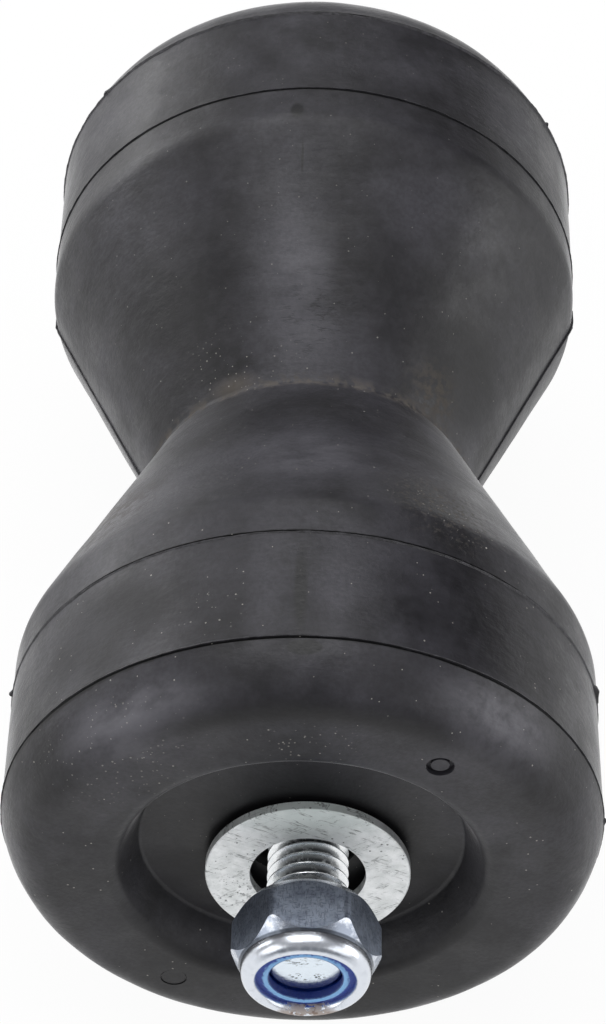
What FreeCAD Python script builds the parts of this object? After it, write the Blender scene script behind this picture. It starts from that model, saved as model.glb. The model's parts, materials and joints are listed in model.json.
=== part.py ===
import FreeCAD, Part
import math
import os
import Sketcher

# Rubber boat trailer roller on its through bolt. The bolt lies along Y with its nut towards -Y,
# +Z is up, and the origin is on the bolt's axis halfway along the roller. Millimetres.

document = FreeCAD.newDocument("boat_trailer_roller")
sheet = document.addObject("Spreadsheet::Sheet", "sizes")
vector = FreeCAD.Vector

# Driving sizes

SIZES = {
    # roller
    "roller_length": 150.0,
    "flange_diameter": 87.6,
    "waist_diameter": 50.6,
    "bore_diameter": 17.0,
    "shoulder_station": 66.4,
    "band_station": 41.8,
    "cone_blend_radius": 7.0,
    "end_face_diameter": 78.0,
    "shoulder_radius": 18.6,
    "recess_mouth_diameter": 54.4,
    "recess_floor_diameter": 47.4,
    "recess_depth": 6.5,
    "recess_lip": 0.9,
    "gate_diameter": 4.0,
    "gate_depth": 0.4,
    "gate_inset": 5.6,
    "gate_angle": 55.0,
    # bolt
    "bolt_diameter": 11.9,
    "bolt_tip_bevel": 1.2,
    "head_across_flats": 19.0,
    "head_height": 7.5,
    "head_bevel_height": 0.9,
    "head_bevel_width": 1.6,
    # nut
    "nut_across_flats": 19.0,
    "nut_height": 12.0,
    "nut_hex_height": 9.2,
    "nut_bevel_height": 2.85,
    "nut_bevel_width": 1.62,
    "nut_seat_bevel_height": 2.6,
    "nut_seat_bevel_width": 2.25,
    "nut_turn_angle": 2.0,
    "nut_overhang": 2.25,
    "nut_standoff": 11.45,
    "collar_diameter": 18.6,
    "collar_round": 2.5,
    "lip_diameter": 14.0,
    "lip_height": 1.3,
    "thread_clearance": 0.05,
    # nylon insert
    "insert_diameter": 15.4,
    "insert_height": 4.0,
    "insert_eye_diameter": 10.5,
    "insert_eye_height": 0.9,
    "insert_crest_diameter": 11.6,
    "insert_crest_height": 0.5,
    "insert_clearance": 0.03,
    # washers
    "washer_diameter": 30.0,
    "washer_hole": 17.0,
    "washer_thickness": 1.5,
    "washer_edge": 0.15,
    "washer_lean_angle": 3.5,
    "washer_float": 0.75,
    # how the pieces lie in each other
    "bore_gap": 0.3,
    "bolt_side_shift": 1.0,
    "seat_gap": 0.15,
    "hang_gap": 0.05,
}

for row, (alias, value) in enumerate(SIZES.items(), start=1):
    sheet.set(f"A{row}", alias)
    sheet.set(f"B{row}", str(value))
    sheet.setAlias(f"B{row}", alias)
document.recompute()

# Places along Y and offsets from the bolt's axis, as expressions over the sheet

FAR_FLOOR = "(sizes.roller_length / 2 - sizes.recess_depth)"
NEAR_FLOOR = f"(-{FAR_FLOOR})"
HEAD_SEAT = f"({FAR_FLOOR} + sizes.washer_thickness + 2 * sizes.seat_gap)"
HEAD_CROWN = f"({HEAD_SEAT} + sizes.head_height)"
NUT_SEAT = f"({NEAR_FLOOR} - sizes.nut_standoff)"
NUT_FRONT = f"({NUT_SEAT} - sizes.nut_height)"
BOLT_TIP = f"({NUT_FRONT} + sizes.nut_overhang)"
HEX_FRONT = f"({NUT_SEAT} - sizes.nut_hex_height)"
INSERT_FRONT = f"({NUT_FRONT} + sizes.lip_height)"
INSERT_BACK = f"({INSERT_FRONT} + sizes.insert_height)"
BOLT_OFF_CENTRE = "((sizes.bore_diameter - sizes.bolt_diameter) / 2 - sizes.bore_gap)"
BOLT_DROP = f"sqrt({BOLT_OFF_CENTRE} ^ 2 - sizes.bolt_side_shift ^ 2)"
WASHER_SLACK = "(sizes.bolt_diameter / 2 + sizes.hang_gap)"
THREAD_HOLE = "(sizes.bolt_diameter / 2 + sizes.thread_clearance)"


def size(name):
    """The number in the sheet's cell of that name."""
    return float(sheet.get(name))


def worth(expression):
    """The number that an expression over the sheet gives."""
    return float(sheet.evalExpression(expression.replace("sizes.", "")))


# Sketching helpers

def number(name):
    """The number that a sketch gives to an end or centre of a curve, or to an axis of its own."""
    return {"start": 1, "end": 2, "centre": 3, "across": -1, "up": -2}[name]


def new_body(label):
    body = document.addObject("PartDesign::Body", label)
    body.Label = label
    return body


def origin_plane(body, role):
    for feature in body.Origin.OriginFeatures:
        if feature.Role == role:
            return feature
    raise ValueError(f"no origin plane {role}")


def new_sketch(body, name, role, station=None):
    """A sketch on one of the body's origin planes. One that stands across the bolt is moved to a
    station along Y, against the plane's normal."""
    sketch = body.newObject("Sketcher::SketchObject", name)
    sketch.AttachmentSupport = [(origin_plane(body, role), "")]
    sketch.MapMode = "FlatFace"
    if station:
        sketch.setExpression("AttachmentOffset.Base.z", f"-{station}")
    return sketch


def spot(across, up):
    """The point of a sketch that two expressions give."""
    return vector(worth(across), worth(up), 0)


def line(sketch, start, end):
    return sketch.addGeometry(Part.LineSegment(start, end), False)


def arc(sketch, start, middle, end):
    return sketch.addGeometry(Part.Arc(start, middle, end), False)


def end_at(sketch, curve, point):
    """Which end of a curve lies at a point. An arc may run either way round."""
    gaps = {end: (sketch.getPoint(curve, number(end)) - point).Length for end in ("start", "end")}
    return min(gaps, key=gaps.get)


def join(sketch, first, second, point, kind="Coincident"):
    """Ties two curves together where they meet, plainly or as a tangent."""
    ends = [number(end_at(sketch, curve, point)) for curve in (first, second)]
    sketch.addConstraint(Sketcher.Constraint(kind, first, ends[0], second, ends[1]))


def bind(sketch, constraint, name, expression):
    """Adds a dimension with a name and ties it to the sheet."""
    number = sketch.addConstraint(constraint)
    sketch.renameConstraint(number, name)
    sketch.setExpression(f"Constraints.{name}", expression)


def bind_radius(sketch, curve, name, expression):
    bind(sketch, Sketcher.Constraint("Radius", curve, worth(expression)), name, expression)


def pin(sketch, curve, place, name, across=None, up=None):
    """Holds the start, end or centre of a curve at a distance across and up from the origin."""
    here = (curve, number(place))
    origin = (number("across"), number("start"))
    for kind, expression, axis in (("DistanceX", across, "up"), ("DistanceY", up, "across")):
        if expression is None:
            continue
        value = worth(expression)
        if abs(value) < 1e-9:
            sketch.addConstraint(Sketcher.Constraint("PointOnObject", *here, number(axis)))
        elif value > 0:
            rule = Sketcher.Constraint(kind, *origin, *here, value)
            bind(sketch, rule, f"{name}_{kind}", expression)
        else:
            rule = Sketcher.Constraint(kind, *here, *origin, -value)
            bind(sketch, rule, f"{name}_{kind}", f"-({expression})")


def outline(sketch, name, corners):
    """A closed outline of straight sides, each corner a pair of expressions, across and up."""
    points = [spot(*corner) for corner in corners]
    count = len(points)
    sides = [line(sketch, points[i], points[(i + 1) % count]) for i in range(count)]
    for i in range(count):
        join(sketch, sides[i - 1], sides[i], points[i])
        pin(sketch, sides[i], "start", f"{name}_{i}", *corners[i])
    return sides


def circle(sketch, name, radius):
    """A circle about the sketch's origin."""
    ring = sketch.addGeometry(Part.Circle(vector(), vector(0, 0, 1), worth(radius)), False)
    origin = number("across"), number("start")
    rule = Sketcher.Constraint("Coincident", ring, number("centre"), *origin)
    sketch.addConstraint(rule)
    bind_radius(sketch, ring, name, radius)


# Feature helpers

def revolve(body, name, sketch, kind="PartDesign::Revolution"):
    """Turns a section about the Y axis of its body, to add it or to cut it away."""
    before = body.Shape.Volume if body.Tip else 0
    feature = body.newObject(kind, name)
    feature.Profile = sketch
    feature.ReferenceAxis = (sketch, ["H_Axis"])
    feature.Angle = 360
    document.recompute()
    if kind == "PartDesign::Groove" and before - feature.Shape.Volume < 0.1:
        raise RuntimeError(f"{name} cuts nothing")
    return feature


def pad(body, name, sketch, length, towards=-1):
    """Raises a sketch that stands across the bolt towards -Y or +Y."""
    feature = body.newObject("PartDesign::Pad", name)
    feature.Profile = sketch
    feature.Reversed = towards > 0
    feature.setExpression("Length", length)
    document.recompute()
    return feature


def dress(body, kind, name, base, circles, dimension, value):
    """Rounds or bevels the circular edges of a feature that match (station, radius) pairs."""
    wanted = [(worth(station), worth(radius)) for station, radius in circles]
    found = []
    for number, edge in enumerate(base.Shape.Edges, start=1):
        if not edge.Degenerated and isinstance(edge.Curve, Part.Circle):
            here = edge.Curve.Center.y, edge.Curve.Radius
            if any(abs(here[0] - s) < 0.01 and abs(here[1] - r) < 0.01 for s, r in wanted):
                found.append(f"Edge{number}")
    if len(found) < len(wanted):
        raise RuntimeError(f"{name}: an edge is missing")
    feature = body.newObject(kind, name)
    feature.Base = (base, found)
    feature.setExpression(dimension, value)
    document.recompute()
    return feature


def hex_prism(body, name, across_flats, station, height, towards=-1):
    """A hexagonal prism with a level side on top."""
    sketch = new_sketch(body, f"{name}_outline", "XZ_Plane", station)
    reach = f"({across_flats} / 2 / cos(30 deg))"
    flat = f"({across_flats} / 2)"
    corners = []
    for across, up in ((-0.5, 1), (0.5, 1), (1, 0), (0.5, -1), (-0.5, -1), (-1, 0)):
        corners.append((f"{across} * {reach}", f"{up} * {flat}"))
    outline(sketch, "corner", corners)
    return pad(body, name, sketch, height, towards)


def bevel_corners(body, name, across_flats, width, height, station, towards):
    """Cuts the corners of a hexagon back with a cone at its end face. The face lies at the station
    and looks towards -Y or +Y."""
    sketch = new_sketch(body, f"{name}_section", "YZ_Plane")
    reach = f"{across_flats} / 2 / cos(30 deg)"
    spare = f"sizes.{width} + 1"
    depth = f"sizes.{height} * ({spare}) / sizes.{width}"
    sign = "-" if towards > 0 else "+"
    corners = [
        (station, f"{reach} - sizes.{width}"),
        (station, f"{reach} + 1"),
        (f"{station} {sign} {depth}", f"{reach} + 1"),
    ]
    outline(sketch, "bevel", corners)
    return revolve(body, name, sketch, "PartDesign::Groove")


# Roller

def half_section(body):
    """Half of the roller's section, from its near end face to its middle, round the loop from the
    bore: floor and wall of the recess, end face, shoulder, band, blend and cone."""
    sketch = new_sketch(body, "half_section", "YZ_Plane")
    bore = "sizes.bore_diameter / 2"
    flange = "sizes.flange_diameter / 2"
    end = "-sizes.roller_length / 2"
    middle = "0 * sizes.roller_length"
    stops = {
        "waist": (middle, "sizes.waist_diameter / 2"),
        "bore_middle": (middle, bore),
        "bore_end": (NEAR_FLOOR, bore),
        "floor_edge": (NEAR_FLOOR, "sizes.recess_floor_diameter / 2"),
        "mouth": (end, "sizes.recess_mouth_diameter / 2"),
        "rim": (end, "sizes.end_face_diameter / 2"),
        "crown": ("-sizes.shoulder_station", flange),
        "band_end": ("-sizes.band_station", flange),
    }
    points = {name: spot(*place) for name, place in stops.items()}
    straight = ["waist", "bore_middle", "bore_end", "floor_edge", "mouth", "rim"]
    chain = []
    for first, second in zip(straight, straight[1:]):
        chain.append(line(sketch, points[first], points[second]))

    # the shoulder bows out from the chord between the end face and the band
    rim, crown, top, low = (points[name] for name in ("rim", "crown", "band_end", "waist"))
    chord = crown - rim
    bulge = size("shoulder_radius")
    bow = bulge - math.sqrt(bulge ** 2 - (chord.Length / 2) ** 2)
    outward = vector(-chord.y, chord.x, 0).normalize()
    chain.append(arc(sketch, rim, (rim + crown) / 2 + outward * bow, crown))
    bind_radius(sketch, chain[-1], "shoulder", "sizes.shoulder_radius")
    chain.append(line(sketch, crown, top))

    # the cone runs from the waist and touches the blend that rounds the band's edge
    radius = size("cone_blend_radius")
    rise = radius - (top.y - low.y)
    reach = math.hypot(top.x, rise)
    slope = math.atan2(-top.x, rise) - math.acos(radius / reach)

    def on_blend(angle):
        return top + vector(radius * math.sin(angle), radius * (math.cos(angle) - 1), 0)

    touch = on_blend(slope)
    chain.append(arc(sketch, top, on_blend(slope / 2), touch))
    bind_radius(sketch, chain[-1], "blend", "sizes.cone_blend_radius")
    pin(sketch, chain[-1], "centre", "blend_centre", across="-sizes.band_station")
    chain.append(line(sketch, touch, low))

    order = [points[name] for name in stops] + [touch]
    for before, after, point in zip(chain, chain[1:], order[1:]):
        kind = "Tangent" if point == touch else "Coincident"
        join(sketch, before, after, point, kind)
    join(sketch, chain[-1], chain[0], low)
    for curve, name in zip(chain, stops):
        pin(sketch, curve, end_at(sketch, curve, points[name]), name, *stops[name])
    return sketch


def gate_marks(body, base):
    """Two shallow round marks on the near end face, opposite each other, where the rubber went in."""
    sketch = new_sketch(body, "gate_circle", "XZ_Plane", "(-sizes.roller_length / 2)")
    reach = "(sizes.recess_mouth_diameter / 2 + sizes.gate_inset)"
    across = f"{reach} * cos(sizes.gate_angle * 1 deg)"
    up = f"{reach} * sin(sizes.gate_angle * 1 deg)"
    shape = Part.Circle(spot(across, up), vector(0, 0, 1), size("gate_diameter") / 2)
    ring = sketch.addGeometry(shape, False)
    bind_radius(sketch, ring, "gate_radius", "sizes.gate_diameter / 2")
    pin(sketch, ring, "centre", "gate", across, up)
    mark = body.newObject("PartDesign::Pocket", "gate_mark")
    mark.Profile = sketch
    mark.setExpression("Length", "sizes.gate_depth")
    document.recompute()
    if base.Shape.Volume - mark.Shape.Volume < 1:
        raise RuntimeError("the gate mark cuts nothing")
    pair = body.newObject("PartDesign::PolarPattern", "gate_pair")
    pair.Originals = [mark]
    pair.Axis = (sketch, ["N_Axis"])
    pair.Angle = 360
    pair.Occurrences = 2
    body.Tip = pair
    document.recompute()


def make_roller():
    """The rubber moulding: one half is built and mirrored, then bevelled and marked."""
    body = new_body("roller")
    half = revolve(body, "half_roller", half_section(body))
    whole = body.newObject("PartDesign::Mirrored", "both_halves")
    whole.Originals = [half]
    whole.MirrorPlane = (origin_plane(body, "XZ_Plane"), [""])
    body.Tip = whole
    document.recompute()

    mouth = "sizes.recess_mouth_diameter / 2"
    mouths = [("-sizes.roller_length / 2", mouth), ("sizes.roller_length / 2", mouth)]
    lips = dress(body, "PartDesign::Chamfer", "recess_lips", whole, mouths, "Size", "sizes.recess_lip")
    gate_marks(body, lips)
    body.setExpression("Placement.Base.x", "-sizes.bolt_side_shift")
    body.setExpression("Placement.Base.z", BOLT_DROP)


# Bolt

def make_bolt():
    """The through bolt: a hexagon head, and a shank with a bevelled tip."""
    body = new_body("axle_bolt")
    hex_prism(body, "head", "sizes.head_across_flats", HEAD_SEAT, "sizes.head_height", 1)
    bevel_corners(
        body, "head_bevel", "sizes.head_across_flats", "head_bevel_width", "head_bevel_height",
        HEAD_CROWN, 1,
    )
    sketch = new_sketch(body, "shank_section", "YZ_Plane")
    radius = "sizes.bolt_diameter / 2"
    inside = f"{HEAD_SEAT} + sizes.head_height / 2"
    axis = "0 * sizes.bolt_diameter"
    corners = [
        (inside, axis),
        (inside, radius),
        (f"{BOLT_TIP} + sizes.bolt_tip_bevel", radius),
        (BOLT_TIP, f"{radius} - sizes.bolt_tip_bevel"),
        (BOLT_TIP, axis),
    ]
    outline(sketch, "shank", corners)
    revolve(body, "shank", sketch)


# Nut and its nylon ring

def make_nut():
    """The locking nut: a hexagon with a round collar, bored for the thread and the nylon ring."""
    body = new_body("lock_nut")
    flats = "sizes.nut_across_flats"
    hex_prism(body, "nut_hex", flats, NUT_SEAT, "sizes.nut_hex_height")
    bevel_corners(
        body, "collar_side_bevel", flats, "nut_bevel_width", "nut_bevel_height", HEX_FRONT, -1
    )
    bevel_corners(
        body, "seat_side_bevel", flats, "nut_seat_bevel_width", "nut_seat_bevel_height", NUT_SEAT, 1
    )
    ring = new_sketch(body, "collar_outline", "XZ_Plane", NUT_SEAT)
    circle(ring, "collar_radius", "sizes.collar_diameter / 2")
    collar = pad(body, "collar", ring, "sizes.nut_height")
    rim = [(NUT_FRONT, "sizes.collar_diameter / 2")]
    dress(body, "PartDesign::Fillet", "collar_rim", collar, rim, "Radius", "sizes.collar_round")

    bore = new_sketch(body, "nut_bore_section", "YZ_Plane")
    axis = "0 * sizes.bolt_diameter"
    pocket = "sizes.insert_diameter / 2 + sizes.insert_clearance"
    corners = [
        (f"{NUT_SEAT} + 1", axis),
        (f"{NUT_SEAT} + 1", THREAD_HOLE),
        (f"{INSERT_BACK} + sizes.insert_clearance", THREAD_HOLE),
        (f"{INSERT_BACK} + sizes.insert_clearance", pocket),
        (f"{INSERT_FRONT} - sizes.insert_clearance", pocket),
        (f"{INSERT_FRONT} - sizes.insert_clearance", "sizes.lip_diameter / 2"),
        (f"{NUT_FRONT} - 1", "sizes.lip_diameter / 2"),
        (f"{NUT_FRONT} - 1", axis),
    ]
    outline(bore, "bore", corners)
    revolve(body, "nut_bore", bore, "PartDesign::Groove")
    body.Placement = FreeCAD.Placement(vector(), FreeCAD.Rotation(vector(0, 1, 0), 1))
    body.setExpression("Placement.Rotation.Angle", "sizes.nut_turn_angle * 1 deg")


def make_insert():
    """The nylon ring in the collar. It clears the thread, and its front rises to a crest round
    a narrower eye."""
    body = new_body("nut_insert")
    sketch = new_sketch(body, "insert_section", "YZ_Plane")
    eye = "sizes.insert_eye_diameter / 2"
    outer = "sizes.insert_diameter / 2"
    lip = "sizes.lip_diameter / 2"
    eye_back = f"{INSERT_FRONT} + sizes.insert_eye_height"
    corners = [
        (f"{INSERT_FRONT} - sizes.insert_crest_height / 2", eye),
        (eye_back, eye),
        (eye_back, THREAD_HOLE),
        (INSERT_BACK, THREAD_HOLE),
        (INSERT_BACK, outer),
        (INSERT_FRONT, outer),
        (INSERT_FRONT, f"{lip} - sizes.insert_clearance"),
        (f"{INSERT_FRONT} - sizes.insert_crest_height", "sizes.insert_crest_diameter / 2"),
    ]
    outline(sketch, "ring", corners)
    revolve(body, "ring", sketch)


# Washers

def make_washer(label, towards):
    """A flat washer with its back on the origin plane, rising towards -Y or +Y."""
    body = new_body(label)
    sketch = new_sketch(body, "washer_outline", "XZ_Plane")
    circle(sketch, "outer_radius", "sizes.washer_diameter / 2")
    circle(sketch, "hole_radius", "sizes.washer_hole / 2")
    disc = pad(body, "disc", sketch, "sizes.washer_thickness", towards)
    front = f"{towards} * sizes.washer_thickness"
    edge = [(front, "sizes.washer_diameter / 2")]
    dress(body, "PartDesign::Chamfer", "edge", disc, edge, "Size", "sizes.washer_edge")
    return body


def make_washers():
    """The near washer leans back and stays just off the recess floor. Both hang on the bolt."""
    near = make_washer("nut_washer", -1)
    near.Placement = FreeCAD.Placement(vector(), FreeCAD.Rotation(vector(-1, 0, 0), 1))
    lean = "(sizes.washer_lean_angle * 1 deg)"
    tilt = f"sizes.washer_diameter / 2 * sin{lean}"
    hang = f"sizes.washer_hole / 2 * cos{lean} - {WASHER_SLACK}"
    near.setExpression("Placement.Rotation.Angle", lean)
    near.setExpression("Placement.Base.y", f"{NEAR_FLOOR} - sizes.washer_float - {tilt}")
    near.setExpression("Placement.Base.z", f"-({hang})")
    far = make_washer("head_washer", 1)
    far.setExpression("Placement.Base.y", f"{FAR_FLOOR} + sizes.seat_gap")
    far.setExpression("Placement.Base.z", f"{WASHER_SLACK} - sizes.washer_hole / 2")


def check_and_write():
    """Stops at any failed object or bad solid, then writes one file for each piece."""
    document.recompute()
    for thing in document.Objects:
        if "Invalid" in thing.State or "Error" in thing.State:
            raise RuntimeError(f"{thing.Label}: {thing.State}")
    bodies = [thing for thing in document.Objects if thing.TypeId == "PartDesign::Body"]
    for body in bodies:
        shape = body.Shape
        if shape.isNull() or not shape.isValid() or len(shape.Solids) != 1:
            raise RuntimeError(f"{body.Label} is not one good solid")
    os.makedirs("parts", exist_ok=True)
    for body in bodies:
        body.Shape.exportStep(f"parts/{body.Label}.step")
        print(body.Label, round(body.Shape.Volume / 1000, 2), "cm3")


make_roller()
make_bolt()
make_nut()
make_insert()
make_washers()
check_and_write()
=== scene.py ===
import json
import math

import bpy
from mathutils import Matrix, Vector


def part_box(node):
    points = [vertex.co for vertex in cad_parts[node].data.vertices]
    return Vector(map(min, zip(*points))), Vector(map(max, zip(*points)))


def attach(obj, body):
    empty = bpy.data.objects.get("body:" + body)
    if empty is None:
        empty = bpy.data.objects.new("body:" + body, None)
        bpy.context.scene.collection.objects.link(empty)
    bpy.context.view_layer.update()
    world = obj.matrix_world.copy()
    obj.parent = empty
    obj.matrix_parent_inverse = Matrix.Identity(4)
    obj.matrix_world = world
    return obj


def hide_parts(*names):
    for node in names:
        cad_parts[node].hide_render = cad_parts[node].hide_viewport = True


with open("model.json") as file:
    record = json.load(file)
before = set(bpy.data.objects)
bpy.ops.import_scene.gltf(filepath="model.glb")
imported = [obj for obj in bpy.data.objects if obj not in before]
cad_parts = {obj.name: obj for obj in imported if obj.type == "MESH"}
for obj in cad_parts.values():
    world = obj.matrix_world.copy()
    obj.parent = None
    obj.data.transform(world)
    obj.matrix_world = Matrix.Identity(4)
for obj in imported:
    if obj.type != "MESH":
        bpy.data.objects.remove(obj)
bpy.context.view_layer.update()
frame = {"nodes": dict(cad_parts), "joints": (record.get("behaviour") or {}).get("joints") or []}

bl_info = {
    "name": "Boat trailer roller",
    "version": (1, 0, 0),
    "blender": (4, 5, 0),
    "location": "3D View > Sidebar > Boat roller",
    "description": "Moulds the rubber roller and finishes its bolt, nut and washers",
    "category": "Object",
}

# Places and sizes that the frame gives

MM = 0.001
WELD = 0.002 * MM  # points that lie nearer than this are one point
AXLE = "axle"
ROLLER = "roller"
BOLT_AXIS = Vector((0, 0, 0))
ROLLER_AXIS = Vector(frame["joints"][0]["pos_m"])
ROLLER_LOW, ROLLER_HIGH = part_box("roller")
BOLT_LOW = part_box("axle_bolt")[0]
NUT_LOW, NUT_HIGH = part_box("lock_nut")
INSERT_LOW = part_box("nut_insert")[0]


def linear(code):
    """The linear colour of an sRGB hex code."""
    parts = [int(code[i:i + 2], 16) / 255 for i in (1, 3, 5)]
    mixed = [p / 12.92 if p <= 0.04045 else ((p + 0.055) / 1.055) ** 2.4 for p in parts]
    return (*mixed, 1)


def length(name, description, default):
    return bpy.props.FloatProperty(
        name=name, description=description, default=default, min=0, unit="LENGTH", precision=5
    )


def colour(name, description, code):
    return bpy.props.FloatVectorProperty(
        name=name, description=description, default=linear(code), size=4, subtype="COLOR",
        min=0, max=1,
    )


class RollerSizes(bpy.types.PropertyGroup):
    """The rubber moulding. The frame gives its length and flange."""
    half_length: length("Half length", "From the middle to an end face", ROLLER_HIGH.y)
    flange: length("Flange radius", "Radius of the bands", (ROLLER_HIGH.z - ROLLER_LOW.z) / 2)
    waist: length("Waist radius", "Radius at the bottom of the V", 25.3 * MM)
    crease: length("Crease radius", "Rounding at the bottom of the V", 1.2 * MM)
    shoulder_at: length("Shoulder station", "From the middle to a band's outer line", 66.4 * MM)
    band_at: length("Band station", "From the middle to a band's inner line", 47.2 * MM)
    cone_at: length("Cone station", "From the middle to where a cone's blend ends", 41.8 * MM)
    blend: length("Blend radius", "Rounding between band and cone", 7 * MM)
    bulge: length("Shoulder radius", "Radius of the rounded shoulder", 18.6 * MM)
    rim: length("End face radius", "Where shoulder and end face would meet", 39 * MM)
    rim_round: length("Rim rounding", "Rounding between shoulder and end face", 6 * MM)
    mouth: length("Recess mouth radius", "Recess at the end face", 26.9 * MM)
    floor: length("Recess floor radius", "Recess at its floor", 23.7 * MM)
    depth: length("Recess depth", "From the end face to the recess floor", 6.5 * MM)
    lip: length("Recess lip", "Rounding of the recess mouth", 2.4 * MM)
    corner: length("Recess corner", "Rounding of the recess floor", 0.8 * MM)
    bore: length("Bore radius", "Radius of the hole for the bolt", 8.5 * MM)
    groove: length("Mould gap", "Width and depth of the gap beside a line of flash", 0.4 * MM)
    flash: length("Flash", "Height of the flash along the bands", 0.22 * MM)
    gate: length("Gate radius", "Radius of the round marks on the near end face", 2 * MM)
    gate_reach: length("Gate reach", "From the axis to the middle of such a mark", 32.8 * MM)
    fin: length("Parting fin", "Height of the fin along the cones", 0.32 * MM)


class BoltSizes(bpy.types.PropertyGroup):
    """The bolt's thread and tip."""
    thread: length("Thread radius", "Radius over the crests", 5.93 * MM)
    core: length("Core radius", "Radius at the roots", 4.93 * MM)
    pitch: length("Pitch", "From one crest to the next", 1.75 * MM)
    threaded: length("Threaded length", "From the tip to the plain shank", 36 * MM)
    tip: length("Tip radius", "Radius of the tip's face", 4.8 * MM)
    bevel: length("Tip bevel", "Bevel round the tip", 0.5 * MM)
    dome: length("Tip dome", "Height of the slightly domed tip", 0.2 * MM)


class NutSizes(bpy.types.PropertyGroup):
    """The locking nut. The frame gives its place and the turn of its hexagon."""
    corner: length("Corner radius", "From the axis to a sharp corner of the hexagon", 10.97 * MM)
    softness: length("Corner rounding", "Rounding of a corner of the drawn bar", 1.6 * MM)
    hexagon: length("Hexagon", "From the seat face to the end of the hexagon", 9.2 * MM)
    seat: length("Seat radius", "Flat ring of the seat face", 8.72 * MM)
    seat_bevel: length("Seat bevel", "How far the seat's bevel runs along the corners", 2.6 * MM)
    bevel_foot: length("Front bevel foot", "Radius where the bevel meets the collar", 9.35 * MM)
    bevel: length("Front bevel", "How far the front bevel runs along the corners", 2.85 * MM)
    collar: length("Collar radius", "Radius of the collar round the ring", 9.3 * MM)
    ridge: length("Ridge radius", "Where the collar's rolled lip stands furthest out", 7.8 * MM)
    roll: length("Roll", "How far the rolled lip curves along the axis, outside", 2.2 * MM)
    roll_in: length("Inner roll", "How far the rolled lip curves back inside", 1.0 * MM)
    lip: length("Lip radius", "Hole in the rolled lip", 7 * MM)
    lip_depth: length("Lip depth", "From the front to the ring's pocket", 1.3 * MM)
    pocket: length("Pocket radius", "Pocket that holds the ring", 7.73 * MM)
    pocket_depth: length("Pocket depth", "From the front to the pocket's floor", 5.35 * MM)
    hole: length("Hole radius", "Hole that is screwed over the bolt", 6 * MM)


class Finishes(bpy.types.PropertyGroup):
    """What each finish is tinted with."""
    rubber: colour("Rubber", "Moulded black rubber", "#161519")
    # the bloom also tints the patches of painted sheen on the rubber
    bloom: colour("Bloom", "Grey bloom on the rubber", "#424147")
    dust: colour("Dust", "Dry dust in the hollows", "#8d8478")
    zinc: colour("Zinc", "Clear zinc plating", "#f3f5f6")
    blue_zinc: colour("Blue zinc", "Blue zinc plating on the nut's turned faces", "#dde2ea")
    drawn_zinc: colour("Drawn zinc", "Blue zinc plating on the nut's flats", "#b0bacb")
    rust: colour("Rust", "Flaked plating on the nut's collar", "#b9aea8")
    nylon: colour("Nylon", "Blue nylon of the locking ring", "#0f3aa0")
    # the pale nylon of the torn crest also serves as its painted highlight
    rubbing_and_highlight: colour("Rubbed nylon", "Nylon that the thread has torn", "#86bdf0")
    backdrop: colour("Backdrop", "Paper under the roller", "#f8f8f8")


# Modelling helpers

def deselect():
    if bpy.context.object and bpy.context.object.mode != "OBJECT":
        bpy.ops.object.mode_set(mode="OBJECT")
    bpy.ops.object.select_all(action="DESELECT")


def select_all():
    bpy.ops.mesh.select_all(action="SELECT")


def take(piece):
    """Makes a piece the only one that the next operator works on."""
    deselect()
    piece.select_set(True)
    bpy.context.view_layer.objects.active = piece


def new_object(name, data):
    made = bpy.data.objects.new(name, data)
    bpy.context.scene.collection.objects.link(made)
    return made


def across(axis, points, turn=0.0):
    """Puts (along, out) points in a plane through an axis, turned from the top towards +X."""
    side, up = math.sin(turn), math.cos(turn)
    return [Vector((axis.x + out * side, along, axis.z + out * up)) for along, out in points]


def draw(name, places, closed=True):
    """Draws an outline from place to place, and stays in edit mode."""
    deselect()
    bpy.ops.mesh.primitive_plane_add(size=MM, location=places[0])
    piece = bpy.context.object
    piece.name = piece.data.name = name
    bpy.ops.object.mode_set(mode="EDIT")
    select_all()
    bpy.ops.mesh.merge(type="CENTER")
    ends = places[1:] + places[:1] if closed else places[1:]
    for before, after in zip(places, ends):
        bpy.ops.mesh.extrude_region_move(TRANSFORM_OT_translate={"value": after - before})
    select_all()
    bpy.ops.mesh.remove_doubles(threshold=WELD)
    return piece


def plate(name, places):
    """Draws a flat face."""
    piece = draw(name, places)
    bpy.ops.mesh.edge_face_add()
    settle()
    return piece


def turned(name, axis, outline, steps, closed=True):
    """Draws a section and turns it right round an axis along Y."""
    piece = draw(name, across(axis, outline), closed)
    select_all()
    bpy.ops.mesh.spin(steps=steps, angle=2 * math.pi, center=axis, axis=(0, 1, 0))
    select_all()
    bpy.ops.mesh.remove_doubles(threshold=WELD)
    bpy.ops.mesh.normals_make_consistent(inside=False)
    settle()
    return piece


def settle():
    """Leaves edit mode, with the object at the origin and its place in its mesh."""
    bpy.ops.object.mode_set(mode="OBJECT")
    bpy.ops.object.transform_apply(location=True, rotation=True, scale=True)


def smooth(piece, degrees=28):
    take(piece)
    bpy.ops.object.shade_smooth_by_angle(angle=math.radians(degrees))


def modify(piece, kind, **settings):
    """Adds a modifier with its settings and applies it."""
    take(piece)
    modifier = piece.modifiers.new(kind.title(), kind)
    for name, value in settings.items():
        setattr(modifier, name, value)
    bpy.ops.object.modifier_apply(modifier=modifier.name)


def roughen(piece, grain, strength, direction="NORMAL"):
    """Moves a surface in and out, or along an axis, by clouds of a given grain."""
    texture = bpy.data.textures.new(f"{piece.name}_{direction}", "CLOUDS")
    texture.noise_scale = grain
    modify(
        piece, "DISPLACE", texture=texture, texture_coords="LOCAL", strength=strength,
        direction=direction, mid_level=0.5,
    )


def arc(centre, radius, start, end, count):
    """Points of an arc. Its angles run from straight out towards the far end."""
    angles = [start + (end - start) * i / count for i in range(count + 1)]
    return [(centre[0] + radius * math.sin(a), centre[1] + radius * math.cos(a)) for a in angles]


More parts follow.
